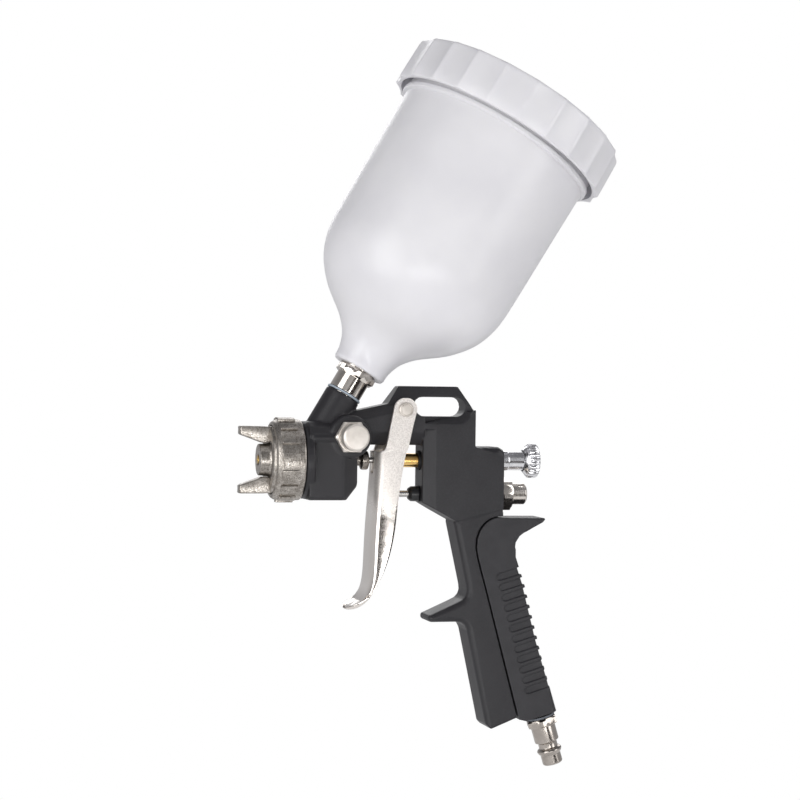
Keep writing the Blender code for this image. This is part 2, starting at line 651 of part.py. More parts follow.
def make_trigger():
    """Bent sheet trigger: two arms, a front web and a forward curled tip."""
    columns = 8
    flat = 3
    power = 0.45
    work = bmesh.new()
    grid = []
    for xf, zf, xr, zr, web in trigger_rows():
        row = []
        for side in (-1, 1):
            line = []
            for i in range(columns + 1):
                angle = math.pi / 2 * i / columns
                across = math.sin(angle) ** power
                back = 1 - math.cos(angle) ** power
                if not web:
                    across, back = 1.0, max(0.0, (i - flat) / (columns - flat))
                point = Vector((xf + (xr - xf) * back, side * TRIGGER_HALF * across,
                                zf + (zr - zf) * back))
                line.append(work.verts.new(point * MM))
            row.append(line)
        grid.append((row, web))
    for (upper, web_above), (lower, _) in zip(grid, grid[1:]):
        for above, below in zip(upper, lower):
            for i in range(0 if web_above else flat, columns):
                work.faces.new((above[i], above[i + 1], below[i + 1], below[i]))
    bmesh.ops.remove_doubles(work, verts=work.verts, dist=0.000002)
    loose = [v for v in work.verts if not v.link_faces]
    bmesh.ops.delete(work, geom=loose, context="VERTS")
    bmesh.ops.recalc_face_normals(work, faces=work.faces)
    mesh = bpy.data.meshes.new("trigger")
    work.to_mesh(mesh)
    work.free()
    trigger = add_object("trigger", mesh, Matrix(), "chrome")
    mesh.transform(Matrix.Translation((-PIVOT[0] * MM, 0, -PIVOT[1] * MM)))
    trigger.location = (PIVOT[0] * MM, 0, PIVOT[1] * MM)
    solid = trigger.modifiers.new("sheet", "SOLIDIFY")
    solid.thickness = TRIGGER_SHEET * MM
    solid.offset = 1.0
    cut(trigger,
        rod("trigger_pin_hole", PIN_RADIUS + GAP, -20, 20, sideways(*PIVOT)),
        outline("needle_notch", stadium(0, 0, 11.0, 5.2, 5), 5.0,
                Matrix.Translation((-31.0 * MM, 0, -31.4 * MM))
                @ Matrix.Rotation(math.radians(90), 4, "Z")
                @ Matrix.Rotation(math.radians(90), 4, "Y")))
    for face in mesh.polygons:
        face.use_smooth = True
    return trigger


def make_pin():
    frame = sideways(*PIVOT)
    pin = turned("trigger_pin", [(0, 13.6), (2.9, 13.6), (3.4, 13.2), (3.4, 12.3),
                                 (PIN_RADIUS, 12.3), (PIN_RADIUS, -12.0), (1.6, -12.0),
                                 (1.6, -4.0), (0, -4.0)], frame, "nickel", BORE_ROUND)
    screw = turned("trigger_pin_screw", [(0, -4.6), (1.3, -4.6), (1.3, -12.3), (3.4, -12.3),
                                         (3.4, -13.2), (2.9, -13.6), (0, -13.6)],
                   frame, "nickel", BORE_ROUND)
    drive = outline("screw_slot", [(-4, -0.4), (4, -0.4), (4, 0.4), (-4, 0.4)], 0.5,
                    Matrix.Translation((PIVOT[0] * MM, 13.6 * MM, PIVOT[1] * MM)))
    cut(screw, drive)
    return pin


# ---- cup, lid and their connector ---------------------------------------------------------
CUP_OUTSIDE = [(0.0, 13.2), (4.0, 13.5), (9.0, 15.1), (13.0, 17.5), (18.0, 22.2), (24.0, 30.0),
               (28.0, 34.6), (33.0, 39.0), (38.0, 42.4), (44.0, 45.0), (52.0, 46.9),
               (64.0, 47.6), (100.0, 48.2), (125.0, 48.7)]


def make_cup():
    """Blow-moulded cup: funnel bottom, straight wall, collar and a threaded rim."""
    frame = along_cup()
    outside = [(radius, height) for height, radius in CUP_OUTSIDE]
    top = [(50.6, 126.0), (50.6, 128.1), (49.4, 128.3), (49.4, 135.0), (50.9, 136.0),
           (50.9, 139.0), (49.4, 140.0), (49.2, CUP_RIM)]
    inside = [(47.4, CUP_RIM), (46.8, 125.0)]
    inside += [(radius - CUP_WALL, height + 0.4) for height, radius in CUP_OUTSIDE[-3:5:-2]]
    inside += [(14.4, 13.4), (11.6, 11.0), (8.9, 10.2), (8.9, -1.3)]
    profile = [(12.6, -1.3)] + outside + top + inside
    cup = turned("cup", profile, frame, "white_pp", ROUND, closed=True)
    turned("cup_strainer", [(0, 2.0), (5.8, 2.0), (7.2, 13.2), (10.6, 13.2), (10.6, 12.2),
                            (8.0, 12.2), (6.6, 1.0), (0, 1.0)], frame, "ptfe")
    return cup


def lid_rings():
    """Fluted outer wall of the lid: wide hollows between narrow crests."""
    per = 4
    count = LID_FLUTES * per
    rings = []
    for height, depth, base in ((LID_BOTTOM, 1.0, LID_RADIUS - 0.6), (LID_BOTTOM + 0.8, 1.0,
                                LID_RADIUS), (LID_TOP - 1.4, 1.0, LID_RADIUS - 0.4),
                                (LID_TOP, 0.5, LID_RADIUS - 2.0)):
        ring = []
        for i in range(count):
            dip = 1.5 * depth * math.sin(math.pi * (i % per) / per)
            angle = math.tau * i / count
            ring.append(((base - dip) * math.cos(angle), (base - dip) * math.sin(angle), height))
        rings.append(ring)
    return rings


def make_lid():
    frame = along_cup()
    lid = loft("lid", lid_rings(), frame, "white_pp")
    hollow = turned("lid_hollow", [(0, LID_TOP - 2.4), (48.0, LID_TOP - 2.4),
                                   (52.9, LID_TOP - 3.2), (52.9, LID_BOTTOM - 5),
                                   (0, LID_BOTTOM - 5)], frame, steps=ROUND)
    dish = turned("lid_dish", [(0, LID_TOP + 5), (45.0, LID_TOP + 5), (44.0, LID_TOP - 1.0),
                               (9.0, LID_TOP - 1.0), (8.6, LID_TOP + 0.2), (0, LID_TOP + 0.2)],
                  frame, steps=ROUND)
    cut(lid, hollow, dish,
        rod("vent_hole", 3.3, LID_TOP - 8, LID_TOP + 8, frame, steps=20))
    tube("lid_gasket", 51.9, 47.9, CUP_RIM + 0.3, CUP_RIM + 1.1, frame, "ptfe", ROUND)
    turned("lid_vent_plug", [(0, LID_TOP + 2.6), (3.9, LID_TOP + 2.6), (4.6, LID_TOP + 2.0),
                             (4.6, LID_TOP + 0.5), (3.0, LID_TOP + 0.5), (3.0, LID_TOP - 5),
                             (2.2, LID_TOP - 6.5), (0.8, LID_TOP - 6.5), (0.8, LID_TOP - 1),
                             (0, LID_TOP - 1)], frame, "ptfe", 20)
    return lid


def make_connector():
    frame = along_cup()
    profile = [(8.5, 8.5), (8.5, -1.9), (8.0, -1.9), (8.0, -13.7), (6.1, -13.7), (6.1, -26.5),
               (4.2, -26.5), (4.2, 0.2), (6.9, 0.5), (8.0, 8.5)]
    connector = turned("cup_connector", profile, frame, "nickel", 32, closed=True)
    hexed(connector, "connector_hex", 18.0, -5.8, -1.7, frame, turn=math.radians(0))
    cut(connector, rod("connector_way", 4.2, -30, 0.1, frame, steps=32))
    tube("connector_washer", BOSS_RADIUS, 6.5, -14.9, -14.0, frame, "washer_grey", 32)


def make_air_plug():
    frame = along_inlet()
    profile = [(2.5, -9.0), (4.8, -9.0), (4.8, 1.2), (5.9, 1.2), (5.9, 13.0), (4.6, 13.8),
               (4.6, 16.2), (5.6, 16.8), (6.1, 17.6), (5.6, 18.8), (4.9, 19.6), (4.9, 24.0),
               (4.4, 24.6), (2.5, 24.6)]
    plug = turned("air_plug", profile, frame, "nickel", closed=True)
    hexed(plug, "air_plug_hex", 14.0, 1.4, 5.2, frame, turn=math.radians(12))
    cut(plug, rod("air_plug_way", 2.5, -12, 30, frame, steps=SMALL_ROUND))
    tube("air_plug_washer", 7.0, 5.2, 0.0, 1.0, frame, "washer_grey", BORE_ROUND)


make_body()
make_grip()
make_spray_end()
make_needle_group()
make_air_valve()
make_fan_valve()
make_trigger()
make_pin()
make_cup()
make_lid()
make_connector()
make_air_plug()
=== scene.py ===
"""Finished look of a gravity-feed HVLP spray gun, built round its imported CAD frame.

Sizes are in millimetres, turned into metres by MM where a mesh is placed. The nozzle points along
-X, the cup leans back over the handle, and +Z is up.
"""
import math

import bmesh
import bpy
from mathutils import Matrix, Vector


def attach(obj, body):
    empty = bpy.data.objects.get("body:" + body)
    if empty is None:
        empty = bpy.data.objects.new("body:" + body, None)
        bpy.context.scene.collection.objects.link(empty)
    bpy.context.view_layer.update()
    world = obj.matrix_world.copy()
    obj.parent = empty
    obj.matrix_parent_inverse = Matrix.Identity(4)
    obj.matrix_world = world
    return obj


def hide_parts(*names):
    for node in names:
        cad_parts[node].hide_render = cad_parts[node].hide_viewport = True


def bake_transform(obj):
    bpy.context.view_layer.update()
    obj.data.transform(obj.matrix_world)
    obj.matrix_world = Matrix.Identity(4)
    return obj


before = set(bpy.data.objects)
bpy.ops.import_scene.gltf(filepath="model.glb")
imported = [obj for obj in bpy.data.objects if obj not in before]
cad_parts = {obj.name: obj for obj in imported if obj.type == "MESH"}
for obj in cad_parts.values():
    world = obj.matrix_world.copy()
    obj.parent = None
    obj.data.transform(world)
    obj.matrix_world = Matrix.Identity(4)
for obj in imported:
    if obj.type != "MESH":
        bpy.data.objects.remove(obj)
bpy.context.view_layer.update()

MM = 0.001
ROUND = 96                   # steps in a full turn of a large piece
SMALL_ROUND = 64             # steps in a full turn of a small piece
FINE_ROUND = 48              # steps in a full turn of a rod or a sleeve

# ---- the frame's own places, in millimetres -----------------------------------------------
NEEDLE_Z = -30.3
AIR_VALVE_Z = -46.2
CUP_TILT = math.radians(30.8)
CUP_BASE = (-38.06, 13.45)
INLET_TILT = math.radians(16.5)
INLET_END = (54.0, -153.3)
FAN_AXIS = (-45.1, -19.0)
PIVOT = (-18.0, -6.0)
LID_FLUTES = 22
LID_FLUTE_STEPS = 14         # steps across one of the lid's flutes
LID_FLUTE_DEPTH = 1.5
RING_LUGS = 15
HORN_AND_LUG_STEPS = 3       # steps in a bevel on the spray end's castings
FLUTE_STEPS = 6              # steps across one of the knob's flutes
FLUTE_RUN_OUT = 0.4          # how much of a flute's depth is left at the chamfer
CUP_WALL = 1.8
KEPT_FACES = 0.25            # share of a remeshed casting's faces that it needs


def along_x(z):
    """Frame whose local Z runs along +X at height z."""
    return Matrix.Translation((0, 0, z * MM)) @ Matrix.Rotation(math.radians(90), 4, "Y")


def along_cup():
    """Frame on the cup's axis."""
    base = Matrix.Translation((CUP_BASE[0] * MM, 0, CUP_BASE[1] * MM))
    return base @ Matrix.Rotation(CUP_TILT, 4, "Y")


def sideways(x, z):
    """Frame whose local Z runs along -Y through (x, z)."""
    return Matrix.Translation((x * MM, 0, z * MM)) @ Matrix.Rotation(math.radians(90), 4, "X")


def along_inlet():
    """Frame whose local Z runs down the handle and out through the air plug."""
    base = Matrix.Translation((INLET_END[0] * MM, 0, INLET_END[1] * MM))
    return base @ Matrix.Rotation(math.pi - INLET_TILT, 4, "Y")


NEEDLE = along_x(NEEDLE_Z)
AIR_VALVE = along_x(AIR_VALVE_Z)
CUP = along_cup()
FAN = sideways(*FAN_AXIS)
PIN = sideways(*PIVOT)
INLET = along_inlet()
WORLD = Matrix()


# ---- shader nodes -------------------------------------------------------------------------
NOISE = "ShaderNodeTexNoise"
RAMP = "ShaderNodeValToRGB"
BUMP = "ShaderNodeBump"
MIX = "ShaderNodeMix"
SPREAD = "ShaderNodeMapRange"
SPLIT = "ShaderNodeSeparateXYZ"


def colour(text):
    """Linear RGBA of an sRGB hex colour."""
    values = [int(text[i:i + 2], 16) / 255 for i in (1, 3, 5)]
    return tuple(v / 12.92 if v <= 0.04045 else ((v + 0.055) / 1.055) ** 2.4
                 for v in values) + (1.0,)


def grey(value):
    """RGBA of a plain number, for a ramp that drives roughness or a mask."""
    return (value, value, value, 1.0)


def scale(size_mm):
    """Texture scale that draws marks about size_mm across."""
    return 1.0 / (size_mm * MM)


def add(tree, kind, sockets, give=0, stops=(), **settings):
    """Add a node with its settings and links, and return the output called give.

    Each socket takes a value or another node's output. stops are a ramp's (position, colour)
    pairs.
    """
    item = tree.nodes.new(kind)
    for key, value in settings.items():
        setattr(item, key, value)
    for key, value in sockets.items():
        if isinstance(value, bpy.types.NodeSocket):
            tree.links.new(value, item.inputs[key])
        else:
            item.inputs[key].default_value = value
    for i, (position, value) in enumerate(stops):
        elements = item.color_ramp.elements
        if i >= len(elements):
            elements.new(position)
        elements[i].position = position
        elements[i].color = value
    return item.outputs[give]


def start(name, **sockets):
    """A material with one Principled shader, its tree, and its Object coordinates."""
    material = bpy.data.materials.new(name)
    material.use_nodes = True
    tree = material.node_tree
    shader = tree.nodes["Principled BSDF"]
    for key, value in sockets.items():
        shader.inputs[key.replace("_", " ")].default_value = value
    place = add(tree, "ShaderNodeTexCoord", {}, "Object")
    return material, tree, shader, place


def drive(tree, shader, **sources):
    """Link each source to the shader's socket of that name."""
    for key, source in sources.items():
        tree.links.new(source, shader.inputs[key.replace("_", " ")])


def lathe_lines(tree, place, axis, pitch_mm):
    """Fine rings round a turned piece's axis, as the tool's point leaves them.

    The real marks are under 0.1 mm apart; they are drawn at pitch_mm so that they show.
    """
    local = add(tree, "ShaderNodeMapping",
                {"Vector": place, "Location": axis.to_translation(), "Rotation": axis.to_euler()},
                "Vector", vector_type="TEXTURE")
    x, y, z = (add(tree, SPLIT, {"Vector": local}, letter) for letter in "XYZ")
    flat = add(tree, "ShaderNodeCombineXYZ", {"X": x, "Y": y}, "Vector")
    radius = add(tree, "ShaderNodeVectorMath", {0: flat}, "Value", operation="LENGTH")
    rings = add(tree, "ShaderNodeCombineXYZ", {"X": radius, "Z": z}, "Vector")
    return add(tree, NOISE, {"Vector": rings, "Scale": scale(pitch_mm), "Detail": 3.0,
                             "Roughness": 0.6}, "Fac")


def powder_coat():
    """Satin black powder coat on cast aluminium: a charcoal sheen over a fine orange peel."""
    material, tree, shader, place = start("satin_powder_coat", Specular_IOR_Level=0.37)
    cloud = add(tree, NOISE, {"Vector": place, "Scale": scale(14.0), "Detail": 3.0}, "Fac")
    speck = add(tree, NOISE, {"Vector": place, "Scale": scale(0.35), "Detail": 1.0}, "Fac")
    peel = add(tree, NOISE, {"Vector": place, "Scale": scale(0.9)}, "Fac")
    tint = add(tree, RAMP, {"Fac": cloud}, "Color",
               stops=[(0.3, colour("#1f1e21")), (0.7, colour("#252427"))])
    dust = add(tree, RAMP, {"Fac": speck}, "Color", stops=[(0.45, grey(0.0)), (0.75, grey(0.16))])
    mixed = add(tree, MIX, {0: dust, 6: tint, 7: colour("#48474a")}, 2, data_type="RGBA")
    rough = add(tree, RAMP, {"Fac": cloud}, "Color",
                stops=[(0.25, grey(0.38)), (0.75, grey(0.46))])
    waves = add(tree, BUMP, {"Height": peel, "Distance": 0.020 * MM}, "Normal")
    grains = add(tree, BUMP, {"Height": speck, "Distance": 0.012 * MM, "Normal": waves}, "Normal")
    drive(tree, shader, Base_Color=mixed, Roughness=rough, Normal=grains)
    return material


def grip_nylon():
    """Glass-filled nylon from a spark-eroded mould: matt black with a fine leathery grain."""
    material, tree, shader, place = start("moulded_nylon", Specular_IOR_Level=0.40)
    grain = add(tree, "ShaderNodeTexVoronoi", {"Vector": place, "Scale": scale(0.55)}, "Distance",
                feature="SMOOTH_F1")
    cloud = add(tree, NOISE, {"Vector": place, "Scale": scale(9.0), "Detail": 3.0}, "Fac")
    fine = add(tree, NOISE, {"Vector": place, "Scale": scale(0.25), "Detail": 1.0}, "Fac")
    tint = add(tree, RAMP, {"Fac": cloud}, "Color",
               stops=[(0.3, colour("#242326")), (0.7, colour("#2c2b2e"))])
    rough = add(tree, RAMP, {"Fac": grain}, "Color", stops=[(0.0, grey(0.40)), (0.8, grey(0.54))])
    leather = add(tree, BUMP, {"Height": grain, "Distance": 0.022 * MM}, "Normal")
    skin = add(tree, BUMP, {"Height": fine, "Distance": 0.008 * MM, "Normal": leather}, "Normal")
    drive(tree, shader, Base_Color=tint, Roughness=rough, Normal=skin)
    return material


def cast_nickel():
    """Nickel over a rough zinc casting: bright high spots, grey pits and a grainy skin."""
    material, tree, shader, place = start("cast_nickel", Metallic=1.0)
    sand = add(tree, NOISE, {"Vector": place, "Scale": scale(0.55), "Detail": 4.0,
                             "Roughness": 0.65}, "Fac")
    patch = add(tree, NOISE, {"Vector": place, "Scale": scale(2.6), "Detail": 3.0,
                              "Roughness": 0.6}, "Fac")
    tint = add(tree, RAMP, {"Fac": sand}, "Color",
               stops=[(0.34, colour("#6c6762")), (0.48, colour("#aaa49d")),
                      (0.66, colour("#d0cbc4"))])
    stain = add(tree, RAMP, {"Fac": patch}, "Color",
                stops=[(0.35, colour("#a39e98")), (0.62, colour("#ffffff"))])
    mixed = add(tree, MIX, {0: 0.5, 6: tint, 7: stain}, 2, data_type="RGBA",
                blend_type="MULTIPLY")
    rough = add(tree, RAMP, {"Fac": sand}, "Color", stops=[(0.35, grey(0.46)), (0.7, grey(0.22))])
    dents = add(tree, BUMP, {"Height": patch, "Distance": 0.05 * MM}, "Normal")
    pits = add(tree, BUMP, {"Height": sand, "Distance": 0.035 * MM, "Normal": dents}, "Normal")
    drive(tree, shader, Base_Color=mixed, Roughness=rough, Normal=pits)
    return material


def turned_metal(name, axis, tints, roughness, pitch, depth, metallic=1.0):
    """Turned and plated bar stock: mirror rings broken by the tool's fine lines."""
    material, tree, shader, place = start(name, Metallic=metallic)
    lines = lathe_lines(tree, place, axis, pitch)
    cloud = add(tree, NOISE, {"Vector": place, "Scale": scale(5.0), "Detail": 3.0}, "Fac")
    tint = add(tree, RAMP, {"Fac": cloud}, "Color",
               stops=[(0.3, colour(tints[0])), (0.7, colour(tints[1]))])
    rough = add(tree, RAMP, {"Fac": lines}, "Color",
                stops=[(0.3, grey(roughness - 0.04)), (0.7, grey(roughness + 0.05))])
    rings = add(tree, BUMP, {"Height": lines, "Distance": depth * MM}, "Normal")
    wear = add(tree, BUMP, {"Height": cloud, "Distance": depth * 2.0 * MM, "Normal": rings},
               "Normal")
    drive(tree, shader, Base_Color=tint, Roughness=rough, Normal=wear)
    return material


def nickel(axis, name="plated_nickel", roughness=0.20, metallic=1.0):
    """Bright nickel plate on turned brass: warm white metal with faint rings."""
    return turned_metal(name, axis, ("#cfc8c0", "#e2dcd5"), roughness, 0.30, 0.003, metallic)


def chrome_knob(axis):
    """Chrome plate on turned brass: cold white mirror, slightly satin on the rings."""
    return turned_metal("chrome_plate", axis, ("#d2d2d4", "#e8e8ea"), 0.19, 0.30, 0.003)


def ground_steel(axis):
    """Ground stainless steel: grey mirror with close grinding rings."""
    return turned_metal("ground_stainless", axis, ("#a9a7a4", "#c4c1bd"), 0.22, 0.22, 0.003)


def turned_brass(axis):
    """Bare turned brass: warm yellow, a little darker where it has been handled."""
    return turned_metal("turned_brass", axis, ("#e2b468", "#f6d592"), 0.22, 0.30, 0.004)


def pressed_chrome():
    """Trigger plate: satin with a sandy speckle at the cheeks, mirror chrome further down."""
    mirror_below, satin_above, ragged = -0.052, -0.036, 0.012
    material, tree, shader, place = start("trigger_chrome", Metallic=1.0)
    height = add(tree, SPLIT, {"Vector": place}, "Z")
    wander = add(tree, NOISE, {"Vector": place, "Scale": scale(9.0)}, "Fac")
    speck = add(tree, NOISE, {"Vector": place, "Scale": scale(0.45)}, "Fac")
    waves = add(tree, NOISE, {"Vector": place, "Scale": scale(7.0), "Detail": 1.0}, "Fac")
    level = add(tree, "ShaderNodeMath", {0: wander, 1: ragged, 2: height}, "Value",
                operation="MULTIPLY_ADD")
    satin = add(tree, SPREAD, {"Value": level, "From Min": mirror_below, "From Max": satin_above},
                "Result")
    dull = add(tree, RAMP, {"Fac": speck}, "Color",
               stops=[(0.35, colour("#cdc7c2")), (0.65, colour("#eae5e0"))])
    mixed = add(tree, MIX, {0: satin, 6: colour("#e6e0da"), 7: dull}, 2, data_type="RGBA")
    rough = add(tree, SPREAD, {"Value": satin, "To Min": 0.11, "To Max": 0.46}, "Result")
    blasted = add(tree, SPREAD, {"Value": satin, "To Min": 1.0, "To Max": 0.72}, "Result")
    sand = add(tree, "ShaderNodeMath", {0: speck, 1: satin}, "Value", operation="MULTIPLY")
    pressed = add(tree, BUMP, {"Height": waves, "Distance": 0.05 * MM}, "Normal")
    sandy = add(tree, BUMP, {"Height": sand, "Distance": 0.012 * MM, "Normal": pressed}, "Normal")
    drive(tree, shader, Base_Color=mixed, Roughness=rough, Metallic=blasted, Normal=sandy)
    return material


def polypropylene():
    """Milky blow-moulded polypropylene: soft glow, waxy gloss and faint flow clouds."""
    material, tree, shader, place = start(
        "natural_polypropylene", Subsurface_Weight=0.22, Subsurface_Scale=0.004,
        Subsurface_Radius=(1.0, 1.0, 1.1), Coat_Weight=0.10, Coat_Roughness=0.18)
    cloud = add(tree, NOISE, {"Vector": place, "Scale": scale(38.0), "Detail": 3.0}, "Fac")
    flow = add(tree, NOISE, {"Vector": place, "Scale": scale(16.0), "Detail": 1.0}, "Fac")
    fine = add(tree, NOISE, {"Vector": place, "Scale": scale(0.8)}, "Fac")
    tint = add(tree, RAMP, {"Fac": cloud}, "Color",
               stops=[(0.3, colour("#d8d7db")), (0.7, colour("#e1e0e3"))])
    rough = add(tree, RAMP, {"Fac": cloud}, "Color", stops=[(0.3, grey(0.30)), (0.7, grey(0.38))])
    sag = add(tree, BUMP, {"Height": flow, "Distance": 0.05 * MM}, "Normal")
    skin = add(tree, BUMP, {"Height": fine, "Distance": 0.006 * MM, "Normal": sag}, "Normal")
    drive(tree, shader, Base_Color=tint, Roughness=rough, Normal=skin)
    return material


def small_moulding(name, tint_dark, tint_light, roughness, grain_mm):
    """Small moulded or pressed piece: even colour with a fine skin."""
    material, tree, shader, place = start(name)
    grain = add(tree, NOISE, {"Vector": place, "Scale": scale(grain_mm), "Detail": 3.0}, "Fac")
    tint = add(tree, RAMP, {"Fac": grain}, "Color",
               stops=[(0.35, colour(tint_dark)), (0.65, colour(tint_light))])
    rough = add(tree, RAMP, {"Fac": grain}, "Color",
                stops=[(0.3, grey(roughness - 0.05)), (0.7, grey(roughness + 0.05))])
    skin = add(tree, BUMP, {"Height": grain, "Distance": 0.010 * MM}, "Normal")
    drive(tree, shader, Base_Color=tint, Roughness=rough, Normal=skin)
    return material


# ---- mesh work ----------------------------------------------------------------------------
def finish_piece(name, work, place, body, material, node, smooth_angle=24.0):
    """Place a bmesh, shade it, and hand it to the frame in place of its CAD node."""
    bmesh.ops.transform(work, matrix=place, verts=work.verts)
    mesh = bpy.data.meshes.new(name)
    work.to_mesh(mesh)
    work.free()
    mesh.materials.append(material)
    mesh.shade_smooth()
    mesh.set_sharp_from_angle(angle=math.radians(smooth_angle))
    item = bpy.data.objects.new(name, mesh)
    bpy.context.scene.collection.objects.link(item)
    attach(item, body)
    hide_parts(node)
    return item


def softened(profile, soft, steps):
    """Half profile of (radius, height) points with its corners rounded by short arcs.

    A point may carry its own radius as a third number; 0 keeps it sharp.
    """
    rounded = []
    count = len(profile)
    for i, point in enumerate(profile):
        reach = point[2] if len(point) > 2 else soft
        here = Vector(point[:2])
        if i in (0, count - 1) or reach == 0:
            rounded.append(here)
            continue
        before = Vector(profile[i - 1][:2]) - here
        after = Vector(profile[i + 1][:2]) - here
        back = min(reach, before.length * 0.45)
        forward = min(reach, after.length * 0.45)
        a = here + before.normalized() * back
        b = here + after.normalized() * forward
        for k in range(steps + 1):
            t = k / steps
            rounded.append(a * (1 - t) ** 2 + here * 2 * t * (1 - t) + b * t ** 2)
    return rounded


def spun(profile, soft=0.25, turns=SMALL_ROUND, steps=5, ring=False):
    """Turned solid: a rounded half profile spun a full turn round local Z.

    A ring's profile is closed: its last point meets its first.
    """
    if ring:
        start_at = (Vector(profile[0][:2]) + Vector(profile[-1][:2])) / 2
        profile = [tuple(start_at)] + list(profile) + [tuple(start_at)]
    points = softened(profile, soft, steps)
    if ring:
        points = points[:-1]
    work = bmesh.new()
    verts = [work.verts.new((p.x * MM, 0, p.y * MM)) for p in points]
    edges = [work.edges.new(pair) for pair in zip(verts, verts[1:])]
    if ring:
        edges.append(work.edges.new((verts[-1], verts[0])))
    bmesh.ops.spin(work, geom=verts + edges, cent=(0, 0, 0), axis=(0, 0, 1), angle=math.tau,
                   steps=turns, use_merge=True)
    bmesh.ops.remove_doubles(work, verts=work.verts, dist=0.000002)
    bmesh.ops.recalc_face_normals(work, faces=work.faces)
    return work


def merged(*works):
    """All the bmeshes in one, for a piece made of fused or bolted shapes."""
    first = works[0]
    for other in works[1:]:
        spare = bpy.data.meshes.new("spare")
        other.to_mesh(spare)
        other.free()
        first.from_mesh(spare)
        bpy.data.meshes.remove(spare)
    return first


def round_ring(radius, height, count, turn=0.0):
    """Points of a circle; radius may be a function of the angle."""
    angles = [math.tau * i / count for i in range(count)]
    reaches = [radius(a) if callable(radius) else radius for a in angles]
    return [(reach * math.cos(a + turn), reach * math.sin(a + turn), height)
            for a, reach in zip(angles, reaches)]


def skinned(rings):
    """Closed ring-shaped solid: each ring of points is extruded from the one before it, and the
    last meets the first.
    """
    work = bmesh.new()
    ring = [work.verts.new(Vector(point) * MM) for point in rings[0]]
    edges = [work.edges.new(pair) for pair in zip(ring[1:] + ring[:1], ring)]
    for points in rings[1:] + rings[:1]:
        grown = bmesh.ops.extrude_edge_only(work, edges=edges)["geom"]
        fresh = {item for item in grown if isinstance(item, bmesh.types.BMVert)}
        ring = [next(edge.other_vert(vert) for edge in vert.link_edges
                     if edge.other_vert(vert) in fresh) for vert in ring]
        edges = [work.edges.get(pair) for pair in zip(ring, ring[1:] + ring[:1])]
        for vert, point in zip(ring, points):
            vert.co = Vector(point) * MM
    bmesh.ops.remove_doubles(work, verts=work.verts, dist=0.000001)
    bmesh.ops.recalc_face_normals(work, faces=work.faces)
    return work


def fluted_bar(radius, depth, count, low, high, chamfer):
    """Fluted head: a ring of round-bottomed grooves between two chamfered heights."""
    work = bmesh.new()
    rings = []
    for height, inset in ((low, chamfer), (low + chamfer, 0.0), (high - chamfer, 0.0),
                          (high, chamfer)):
        cut_depth = depth * (FLUTE_RUN_OUT if inset else 1.0)

        def reach(angle):
            return radius - inset - cut_depth * (1.0 - abs(math.sin(angle * count / 2)))

        rings.append([work.verts.new(Vector(point) * MM)
                      for point in round_ring(reach, height, count * FLUTE_STEPS)])
    loops = [[work.edges.new(pair) for pair in zip(ring, ring[1:] + ring[:1])] for ring in rings]
    for lower, upper in zip(loops, loops[1:]):
        bmesh.ops.bridge_loops(work, edges=lower + upper)
    for ring in (rings[0], rings[-1]):
        work.faces.new(ring)
    bmesh.ops.recalc_face_normals(work, faces=work.faces)
    return work


def cast_from(node, name, voxel, passes, material, shape=None):
    """Casting or moulding from its CAD node, with the small radii that a mould leaves.

    It is remeshed fine and relaxed, so that every edge and inside corner is rounded. shape(work)
    may change it first.
    """
    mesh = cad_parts[node].data.copy()
    mesh.name = name
    mesh.materials.clear()
    work = bmesh.new()
    work.from_mesh(mesh)
    bmesh.ops.remove_doubles(work, verts=work.verts, dist=0.000005)
    if shape:
        shape(work)
    work.to_mesh(mesh)
    work.free()
    item = bpy.data.objects.new(name, mesh)
    bpy.context.scene.collection.objects.link(item)
    remesh = item.modifiers.new("skin", "REMESH")
    remesh.mode = "VOXEL"
    remesh.voxel_size = voxel * MM
    remesh.use_smooth_shade = True
    relax = item.modifiers.new("relax", "SMOOTH")
    relax.factor = 0.5
    relax.iterations = passes
    thin = item.modifiers.new("thin", "DECIMATE")
    thin.ratio = KEPT_FACES
    graph = bpy.context.evaluated_depsgraph_get()
    final = bpy.data.meshes.new_from_object(item.evaluated_get(graph))
    item.modifiers.clear()
    item.data = final
    final.name = name
    final.materials.clear()
    final.materials.append(material)
    final.shade_smooth()
    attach(item, "root")
    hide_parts(node)


# ---- casting and grip ---------------------------------------------------------------------
def add_head_ribs(work):
    """Raised rib along each side of the head, from the collar to the fan boss."""
    for side in (-1, 1):
        place = (Matrix.Translation((-56.0 * MM, side * 13.9 * MM, -19.6 * MM))
                 @ Matrix.Rotation(math.radians(90), 4, "Y"))
        bmesh.ops.create_cone(work, cap_ends=True, segments=32, radius1=2.2 * MM,
                              radius2=2.2 * MM, depth=14.0 * MM, matrix=place)


def blunt_tang(work):
    """Draw the thumb tang's tip in and round it off."""
    root_x, lower_z, kept = 50.5 * MM, -61.0 * MM, 0.5
    for vert in work.verts:
        if vert.co.x > root_x and vert.co.z > lower_z:
            vert.co.x = root_x + (vert.co.x - root_x) * kept


def make_castings():
    """The coated body casting and the moulded shell at the back of the handle."""
    cast_from("gun_body", "body_casting", 0.40, 4, powder_coat(), add_head_ribs)
    cast_from("rear_grip", "grip_shell", 0.22, 1, grip_nylon(), blunt_tang)


# ---- cup and lid --------------------------------------------------------------------------
CUP_OUTSIDE = [(13.2, 0.0), (13.5, 4.0), (15.1, 9.0), (17.5, 13.0), (22.2, 18.0), (30.0, 24.0),
               (34.6, 28.0), (39.0, 33.0), (42.4, 38.0), (45.0, 44.0), (46.9, 52.0),
               (47.6, 64.0), (48.2, 100.0), (48.7, 125.0)]


